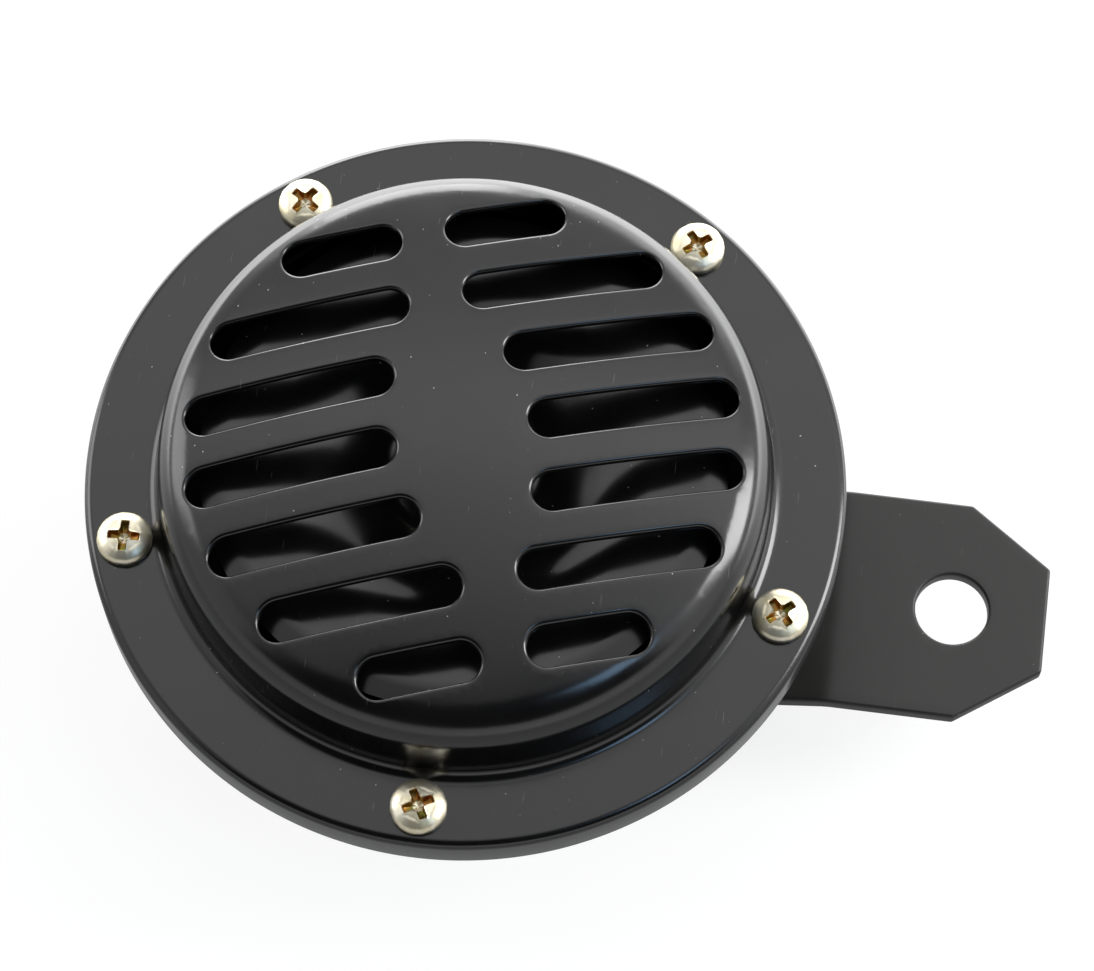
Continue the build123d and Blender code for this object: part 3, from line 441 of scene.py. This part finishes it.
def plated_steel(name, tone, second, roughness, spread=2.2):
    """Zinc plating under a passivating film, or another bare metal: its tint drifts between two tones over spread
    mm, its gloss goes with the tint, and a grain of a third of a millimetre breaks its mirror images."""
    material, tree, metal, where = new_material(name)
    metal.inputs["Metallic"].default_value = 1.0
    drift = noise(tree, where, spread, 4.0, 0.6)
    tint = mixed(tree, ranged(tree, drift, (0.35, 0.68)), linear(tone), linear(second))
    gloss = ranged(tree, drift, (0.0, 1.0), (roughness - 0.08, roughness + 0.08))
    skin = bumped(tree, noise(tree, where, 0.35, 2.0), 0.25, 0.01)
    feed(tree, metal, {"Base Color": tint, "Roughness": gloss, "Normal": skin})
    return material


# Pale gold that goes to cream where the film is thin, and a darker orange and olive where the film has pooled.
yellow_zinc = plated_steel("yellow_passivated_zinc_plate", "f6f1de", "e4dab8", 0.42)
recess_zinc = plated_steel("yellow_zinc_in_a_recess", "b5783c", "757334", 0.36, spread=2.0)
screw_places, screw_shells = [], []
for number, screw_turn in enumerate(SCREW_TURNS):
    angle = math.radians(FIRST_SCREW + 360 / len(SCREW_TURNS) * number)
    x, y = HORN_X + SCREW_CIRCLE * math.cos(angle), SCREW_CIRCLE * math.sin(angle)
    screw_places.append((x, y))
    points, faces = pan_head(math.radians(screw_turn))
    screw_shells.append((points + (x, y, FLANGE_Z), faces))
    screw_shells.append(threaded(SCREW_SHANK, SCREW_PITCH, FLANGE_Z - SCREW_LENGTH, FLANGE_Z, (x, y)))
screws = piece("pan_head_screws", screw_shells, yellow_zinc, crease=35)
screws.data.materials.append(recess_zinc)
centres = np.array([tuple(f.center) for f in screws.data.polygons]) / MM
from_axis = np.min([np.hypot(centres[:, 0] - x, centres[:, 1] - y) for x, y in screw_places], axis=0)
crown_height = FLANGE_Z + SCREW_HEIGHT - crown_ball + np.sqrt(crown_ball**2 - np.minimum(from_axis, SCREW_HEAD) ** 2)
in_recess = (from_axis > RECESS_MIDDLE) & (from_axis < RECESS_TIP)
in_recess &= (centres[:, 2] < crown_height - 0.3) & (centres[:, 2] > FLANGE_Z)
screws.data.polygons.foreach_set("material_index", in_recess.astype(np.int32))
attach(screws, "horn")
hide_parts("cover_screws")

# What is clamped or closed in, and the small parts at the back: the CAD's own shapes, in their materials. The
# diaphragm is given a near-black steel so that it stays dark under the slots, and the washers and blades at the back
# are the bright spots on a black horn.
spring_steel = plated_steel("bare_spring_steel", "8d8e90", "77787b", 0.35, spread=12.0)
# A near-black colour for the diaphragm's steel, so that it stays dark under the slots.
near_black_steel = plated_steel("near_black_spring_steel", "17181b", "101114", 0.4, spread=9.0)
soft_iron = plated_steel("turned_soft_iron", "85868a", "6c6d70", 0.38, spread=6.0)
white_zinc = plated_steel("bright_zinc_plate", "c4c7ca", "aeb2b7", 0.28, spread=3.0)
terminal_brass = plated_steel("rolled_brass", "cbb988", "b5a06c", 0.3, spread=5.0)
enamelled_wire = plated_steel("enamelled_copper_wire", "8a4a2a", "6f3820", 0.35, spread=1.0)
contact_tungsten = plated_steel("ground_tungsten", "9a9a9c", "85868a", 0.3, spread=1.0)


def dull_board(name, tone, second, roughness, grain):
    """Paper board or moulded resin: no metal, its tone mottled and its skin rough over a grain's width in mm."""
    material, tree, body, where = new_material(name)
    body.inputs["Roughness"].default_value = roughness
    mottle = noise(tree, where, grain, 4.0)
    tint = mixed(tree, mottle, linear(tone), linear(second))
    feed(tree, body, {"Base Color": tint, "Normal": bumped(tree, mottle, 0.4, 0.03)})
    return material


gasket_paper = dull_board("oiled_gasket_paper", "4a4034", "2f2820", 0.8, 1.5)
laminate = dull_board("phenolic_paper_laminate", "6a4024", "50301c", 0.45, 2.0)
phenolic = dull_board("moulded_phenolic", "1c1a18", "131211", 0.38, 0.8)
nylon = dull_board("moulded_natural_nylon", "cfc8b4", "c2baa4", 0.45, 3.0)
own_shapes = (
    (gasket_paper, ("front_gasket", "rear_gasket")),
    (near_black_steel, ("diaphragm",)),
    (soft_iron, ("armature", "pole_core", "yoke_plate")),
    (laminate, ("armature_push_ring", "terminal_inner_plate")),
    (laminate, ("contact_lower_insulator", "contact_middle_insulator", "contact_upper_insulator")),
    (white_zinc, ("tone_disc_spacer", "tone_disc_washer", "yoke_rivets", "fixed_contact_arm", "adjusting_screw")),
    (white_zinc, ("terminal_rivet", "bracket_washer", "bracket_spring_washer")),
    (yellow_zinc, ("tone_disc_nut",)),
    (nylon, ("coil_bobbin",)),
    (enamelled_wire, ("coil_winding", "coil_lead", "contact_lead", "return_lead")),
    (spring_steel, ("moving_contact_arm",)),
    (contact_tungsten, ("moving_contact_point", "fixed_contact_point")),
    (terminal_brass, ("contact_rivets", "terminal_blade_live", "terminal_blade_earth")),
    (phenolic, ("terminal_block",)),
)
for material, nodes in own_shapes:
    for node in nodes:
        cad[node].data.materials.clear()
        cad[node].data.materials.append(material)

# Tone disc: pressed from 0.8 mm steel, dished round its nut and rolled down a little at its edge, and painted
# gloss black. It shows through the slots, and mirrors the room through them.
TONE_SHEET, TONE_BORE, TONE_CENTRE, TONE_DISH, TONE_RADIUS, TONE_EDGE = 0.8, 3.0, 11.5, 23.0, 37.5, 3.0
TONE_SEAT, TONE_CREST, TONE_END = 4.8, 8.6, 8.0
TONE_BENDS = (0, 6.0, 25.0, 8.0, 0)
tone_corners = [
    (TONE_BORE, TONE_SEAT),
    (TONE_CENTRE, TONE_SEAT),
    (TONE_DISH, TONE_CREST),
    (TONE_RADIUS - TONE_EDGE, TONE_CREST),
    (TONE_RADIUS, TONE_END),
]
tone_back = rounded(tone_corners, TONE_BENDS)
tone_line = np.concatenate([tone_back, beside(tone_back, -TONE_SHEET)[::-1], tone_back[:1]])
tone_paint = baked_paint("gloss_black_enamel_on_disc", "0a0a0b", 0.16, peel=0.25, dust=0.5)
tone = piece("pressed_tone_disc", [turned(tone_line, steps=180)], tone_paint)
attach(tone, "vibrating_unit")
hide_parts("tone_disc")

# Rear housing: a stepped can drawn from 1.2 mm steel, with five drawn collars that take the screws, in the
# cover's paint, a little rougher.
HOUSING_SHEET, HOUSING_BEND = 1.2, 1.6
STACK_RADIUS, CHAMBER_RADIUS, CUP_RADIUS, STUD_HOLE = 53.6, 40.8, 24.8, 4.15
HOUSING_FRONT, CHAMBER_DEPTH, CUP_DEPTH = 1.9, 12.8, 34.8
COLLAR_FOOT, COLLAR_RADIUS, COLLAR_BORE, COLLAR_END = 3.6, 3.05, 2.05, 5.3
housing_corners = [
    (STACK_RADIUS, -HOUSING_FRONT),
    (CHAMBER_RADIUS, -HOUSING_FRONT),
    (CHAMBER_RADIUS, -CHAMBER_DEPTH),
    (CUP_RADIUS, -CHAMBER_DEPTH),
    (CUP_RADIUS, -CUP_DEPTH),
    (STUD_HOLE, -CUP_DEPTH),
]
housing_face = rounded(housing_corners, [0, *4 * [HOUSING_BEND], 0], 0.15)
housing_back = beside(housing_face, -HOUSING_SHEET)
housing_shells = [turned(np.concatenate([housing_face, housing_back[::-1], housing_face[:1]]))]
flange_back = -HOUSING_FRONT - HOUSING_SHEET
collar_corners = [
    (COLLAR_FOOT, flange_back),
    (COLLAR_RADIUS, flange_back),
    (COLLAR_RADIUS, -COLLAR_END),
    (COLLAR_BORE, -COLLAR_END),
    (COLLAR_BORE, -HOUSING_FRONT - 0.1),
]
collar = rounded(collar_corners, [0, 0.4, 0.25, 0.2, 0], 0.1)
for place in screw_places:
    housing_shells.append(turned(collar, centre=place, steps=48))
housing_paint = baked_paint("satin_black_enamel_on_housing", "0c0c0d", 0.26, peel=0.5, dust=0.3)
housing = piece("stepped_can", housing_shells, housing_paint)
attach(housing, "horn")
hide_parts("rear_housing")

# Bracket: a strap of 2.5 mm steel, blanked, pierced and joggled in a press, painted a flatter and slightly
# brown black. The blanking has rolled its face edge over by half a millimetre.
BRACKET_SHEET, BRACKET_BACK, BRACKET_EDGE, BRACKET_BURR, BRACKET_SPACING = 2.5, 38.5, 0.5, 0.2, 1.1
ROOT, TAB_END, HALF_WIDTH, ROOT_CORNER, TAB_CORNER = -17.0, 87.4, 17.0, 6.0, 0.9
TAPER_FROM, TAPER_HALF_WIDTH = 74.9, 8.2
JOGGLE_FROM, JOGGLE_TO, JOGGLE_BEND, PAST_END = 35.0, 56.0, 4.0, 5.0
BOLT_HOLE, HOLE_POINTS = 5.5, 96
joggle_corners = [
    (ROOT - PAST_END, -BRACKET_BACK),
    (JOGGLE_FROM, -BRACKET_BACK),
    (JOGGLE_TO, -FLANGE_Z),
    (TAB_END + PAST_END, -FLANGE_Z),
]
joggle_back = rounded(joggle_corners, [0, JOGGLE_BEND, JOGGLE_BEND, 0], 0.3)
joggle_face = beside(joggle_back, -BRACKET_SHEET)


def bracket_side(plan, line):
    """Plan points carried to one side of the joggled strap: their height follows that side's line."""
    return np.column_stack([plan[:, 0] + HORN_X, plan[:, 1], FLANGE_Z + np.interp(plan[:, 0], line[:, 0], line[:, 1])])


def dense(loop, step):
    """The closed loop with points added on its long runs, no more than about a step apart."""
    runs = []
    for a, b in zip(loop, np.roll(loop, -1, axis=0)):
        count = max(1, int(np.linalg.norm(b - a) / step))
        runs.append(a + (b - a) * np.linspace(0, 1, count, endpoint=False)[:, None])
    return np.concatenate(runs)


near_side = [(ROOT, -HALF_WIDTH), (TAPER_FROM, -HALF_WIDTH), (TAB_END, -TAPER_HALF_WIDTH)]
far_side = [(x, -y) for x, y in near_side[::-1]]
strap_corners = rounded(near_side + far_side, [ROOT_CORNER, *4 * [TAB_CORNER], ROOT_CORNER], 0.2, closed=True)
hole_ring = np.linspace(0, -2 * math.pi, HOLE_POINTS, endpoint=False)
bracket_shells = pierced_sheet(
    dense(strap_corners, 1.2),
    [polar(BOLT_HOLE, hole_ring) - (HORN_X, 0.0), polar(STUD_HOLE, hole_ring)],
    BRACKET_SHEET,
    BRACKET_EDGE,
    BRACKET_BURR,
    BRACKET_SPACING,
    lambda plan: bracket_side(plan, joggle_face),
    lambda plan: bracket_side(plan, joggle_back),
)
bracket_paint = baked_paint("flat_black_enamel_on_strap", "13110e", 0.46, peel=0.6, dust=0.5, film=1.6)
bracket = piece("joggled_strap", bracket_shells, bracket_paint)
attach(bracket, "horn")
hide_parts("bracket")

# Nuts at the back, in the screws' plating: M8 on the bracket's stud and M4 on the adjusting screw. Their corners
# are turned off at 30 degrees, which leaves a curved line along the end of each flat.
NUT_FACE, NUT_CORNER, NUT_LIP = 0.94, 0.985, 0.08
STUD_NUT_FRONT, STUD_NUT_HEIGHT, STUD_NUT_FLATS, STUD_RADIUS = -42.1, 6.5, 13.0, 4.0
ADJUSTER_NUT_FRONT, ADJUSTER_NUT_HEIGHT, ADJUSTER_NUT_FLATS, ADJUSTER_BORE = -14.0, 3.2, 7.0, 2.02
ADJUSTER_PLACE = (HORN_X + 8.0, 29.6)


def hexagon_nut(centre, front, height, flats, bore, turn):
    """Rings from the bore over one end, down the sides and back over the other: at an angle p from the middle of
    a flat the side stands at flats / (2 cos p), and past the face circle the ends fall away at 30 degrees."""
    angle = np.linspace(0, 2 * math.pi, AROUND, endpoint=False)
    from_flat = (angle - math.radians(turn)) % (math.pi / 3) - math.pi / 6
    side = np.minimum(flats / 2 / np.cos(from_flat), NUT_CORNER * flats / 2 / math.cos(math.pi / 6))
    face = NUT_FACE * flats / 2
    drop = (side - face) * math.tan(math.pi / 6)
    lip = NUT_LIP * flats / 2
    half = [(bore, lip), (bore + lip, 0.0), (face, 0.0), (side - 0.08, drop - 0.05), (side, drop + 0.06)]
    rings = [(radius, front - down) for radius, down in half]
    rings += [(radius, front - height + down) for radius, down in half[::-1]]
    points = [round_axis(centre, radius, angle, FLANGE_Z + level) for radius, level in rings]
    return np.stack(points), grid_faces(len(rings), AROUND, rows_close=True, columns_close=True)


stud_nut = hexagon_nut((HORN_X, 0.0), STUD_NUT_FRONT, STUD_NUT_HEIGHT, STUD_NUT_FLATS, STUD_RADIUS, 15)
adjuster_nut = hexagon_nut(
    ADJUSTER_PLACE, ADJUSTER_NUT_FRONT, ADJUSTER_NUT_HEIGHT, ADJUSTER_NUT_FLATS, ADJUSTER_BORE, 90
)
for name, node, nut in (
    ("m8_hexagon_nut", "bracket_nut", stud_nut),
    ("m4_hexagon_nut", "adjusting_nut", adjuster_nut),
):
    made = piece(name, [nut], yellow_zinc, crease=25)
    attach(made, "horn")
    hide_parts(node)

# Floor: a white table that stays white to the camera, with a faint shadow where the horn stands on it. To glossy
# rays the table glows with painted light: a painted shade in front and a painted pool of light behind, and the paint
# mirrors that glow. From below it is clear, so that the horn's back can be looked at.
FLOOR_HALF, FLOOR_GLOW = 3.0, 0.78
MIRRORED_FROM, MIRRORED_TO, GLOW_FRONT_PAINTED_SHADE, GLOW_BACK_PAINTED_LIGHT = -0.06, 0.30, 0.16, 4.5
floor_z = cad_box[0][2]
floor_corners = [(x * FLOOR_HALF, y * FLOOR_HALF, floor_z) for x, y in ((-1, -1), (1, -1), (1, 1), (-1, 1))]
floor_mesh = bpy.data.meshes.new("floor")
floor_mesh.from_pydata(floor_corners, [], [(0, 1, 2, 3)])
floor = bpy.data.objects.new("floor", floor_mesh)
bpy.context.collection.objects.link(floor)
table = bpy.data.materials.new("white_table")
table.use_nodes = True
tree = table.node_tree
tree.nodes.clear()
rays = add(tree, "ShaderNodeLightPath").outputs
plain = add(tree, "ShaderNodeBsdfDiffuse", {"Color": (0.8, 0.8, 0.8, 1)})
shown = add(tree, "ShaderNodeBsdfDiffuse", {"Color": (0.28, 0.28, 0.28, 1)})
place = add(tree, "ShaderNodeSeparateXYZ", {"Vector": add(tree, "ShaderNodeTexCoord").outputs["Object"]})
# Painted light on the table, seen only in reflections: its glow rises from a dim painted shade in front to a bright
# painted pool of light behind.
painted_glow = ranged(
    tree, place.outputs["Y"], (MIRRORED_FROM, MIRRORED_TO), (GLOW_FRONT_PAINTED_SHADE, GLOW_BACK_PAINTED_LIGHT), "SMOOTHSTEP"
)
bright = add(tree, "ShaderNodeMix", {"Factor": rays["Is Glossy Ray"], "A": FLOOR_GLOW, "B": painted_glow}, data_type="FLOAT")
glow = add(tree, "ShaderNodeEmission", {"Color": (1, 1, 1, 1), "Strength": bright.outputs["Result"]})
white = add(tree, "ShaderNodeAddShader", {0: shown.outputs["BSDF"], 1: glow.outputs["Emission"]})
straight = maths(tree, "MAXIMUM", rays["Is Camera Ray"], rays["Is Glossy Ray"])
to_camera = add(tree, "ShaderNodeMixShader", {0: straight, 1: plain.outputs["BSDF"], 2: white.outputs["Shader"]})
from_below = add(tree, "ShaderNodeNewGeometry").outputs["Backfacing"]
clear = add(tree, "ShaderNodeBsdfTransparent").outputs["BSDF"]
one_sided = add(tree, "ShaderNodeMixShader", {0: from_below, 1: to_camera.outputs["Shader"], 2: clear})
add(tree, "ShaderNodeOutputMaterial", {"Surface": one_sided.outputs["Shader"]})
floor_mesh.materials.append(table)

# Light: a white tent, dark round the lens and below it, which the low side of the dome mirrors. A soft box stands
# to the right, a weaker one to the left, a long low one behind, and a small bluish one at the front to the right.
# TENT gives the tent's level by the angle from straight up, in degrees, plus to the back and minus to the front.
TENT = (
    *((-180, 0.7), (-90, 0.85), (-14, 0.42), (-11, 0.42), (-3, 0.52), (8, 0.88), (14, 1.0), (20, 1.3)),
    *((26, 1.38), (33, 1.16), (41, 0.92), (48, 0.86), (53, 0.98), (58, 1.25), (64, 1.8), (72, 2.8)),
    *((80, 3.5), (90, 4.0), (120, 2.0), (180, 0.7)),
)
BRIGHTEST, SIDE_LEVEL, SIDE_SLOPE, LENS_LEVEL = 4.0, 0.76, 0.13, 0.02
LENS_AZIMUTH, LENS_ELEVATION = (-85, 61, 6), (49.5, 29.5, 3.5)
BOX_AWAY = 1.2
world = bpy.data.worlds.new("white_tent")
bpy.context.scene.world = world
world.use_nodes = True
tree = world.node_tree
tree.nodes.clear()
way = add(tree, "ShaderNodeSeparateXYZ", {"Vector": add(tree, "ShaderNodeTexCoord").outputs["Generated"]}).outputs
lean = ranged(tree, maths(tree, "ARCTAN2", way["Y"], way["Z"]), (-math.pi, math.pi))
tent = add(tree, "ShaderNodeValToRGB", {"Fac": lean})
stops = tent.color_ramp.elements
for number, (degrees, level) in enumerate(TENT):
    stop = stops[0] if number == 0 else stops.new((degrees + 180) / 360)
    stop.position = (degrees + 180) / 360
    stop.color = [level / BRIGHTEST] * 3 + [1.0]
stops.remove(stops[-1])
to_side = ranged(tree, maths(tree, "ABSOLUTE", way["X"]), (0.45, 0.75), kind="SMOOTHSTEP")
level = mixed(tree, to_side, tent.outputs["Color"], [SIDE_LEVEL / BRIGHTEST] * 3 + [1.0])
slope = ranged(tree, way["X"], (-0.5, 0.5), ((1 - SIDE_SLOPE) * BRIGHTEST, (1 + SIDE_SLOPE) * BRIGHTEST))
light = add(tree, "ShaderNodeVectorMath", {0: level, "Scale": slope}, operation="SCALE").outputs["Vector"]


def window(value, middle, half, edge):
    """One inside the middle plus or minus half, in degrees, and zero outside, over an edge of that width."""
    away = maths(tree, "ABSOLUTE", maths(tree, "SUBTRACT", value, math.radians(middle)))
    return ranged(tree, away, (math.radians(half - edge), math.radians(half + edge)), (1.0, 0.0), "SMOOTHSTEP")


azimuth = maths(tree, "ARCTAN2", way["Y"], way["X"])
elevation = maths(tree, "ARCSINE", way["Z"])
round_lens = maths(tree, "MULTIPLY", window(azimuth, *LENS_AZIMUTH), window(elevation, *LENS_ELEVATION))
light = mixed(tree, round_lens, light, [LENS_LEVEL] * 3 + [1.0])
rays = add(tree, "ShaderNodeLightPath").outputs
seen = maths(tree, "MAXIMUM", rays["Is Camera Ray"], rays["Is Transmission Ray"])
sky = add(tree, "ShaderNodeBackground", {"Color": mixed(tree, seen, light, (1, 1, 1, 1)), "Strength": 1.0})
add(tree, "ShaderNodeOutputWorld", {"Surface": sky.outputs["Background"]})


def soft_box(name, azimuth, elevation, wide, high, radiance, colour=(1, 1, 1)):
    """A rectangular soft box in a direction and of an angular size in degrees, seen from the horn; an area lamp's
    power is radiance * pi * area."""
    lamp = bpy.data.lights.new(name, "AREA")
    width, height = (2 * BOX_AWAY * math.tan(math.radians(size) / 2) for size in (wide, high))
    lamp.shape, lamp.size, lamp.size_y, lamp.energy = "RECTANGLE", width, height, radiance * math.pi * width * height
    lamp.color = colour
    made = bpy.data.objects.new(name, lamp)
    bpy.context.collection.objects.link(made)
    turn, rise = math.radians(azimuth), math.radians(elevation)
    way = np.array([math.cos(rise) * math.cos(turn), math.cos(rise) * math.sin(turn), math.sin(rise)])
    made.location = np.array([HORN_X * MM, 0, FLANGE_Z * MM]) + BOX_AWAY * way
    made.rotation_euler = (math.pi / 2 - rise, 0, turn + math.pi / 2)


soft_box("box_right", 14, 31, 20, 34, 9.5)
soft_box("box_left", 165, 26, 24, 34, 3.0)
soft_box("box_back", 106, 11, 26, 24, 5.0)
soft_box("box_front_right", -31, 57, 12, 16, 3.4, (0.42, 0.68, 1.0))

# Camera: where a pinhole fitted to the photograph's rim, screws, slots and bracket stands.
lens = bpy.data.cameras.new("camera")
lens.sensor_fit, lens.sensor_width, lens.lens = "HORIZONTAL", 36.0, 127.6
camera = bpy.data.objects.new("camera", lens)
bpy.context.collection.objects.link(camera)
camera.location = (-33.8 * MM, -198.5 * MM, 553.4 * MM)
camera.rotation_euler = (0.368, 0.003, 0.130)
bpy.context.scene.camera = camera
bpy.context.scene.view_settings.view_transform = "Standard"
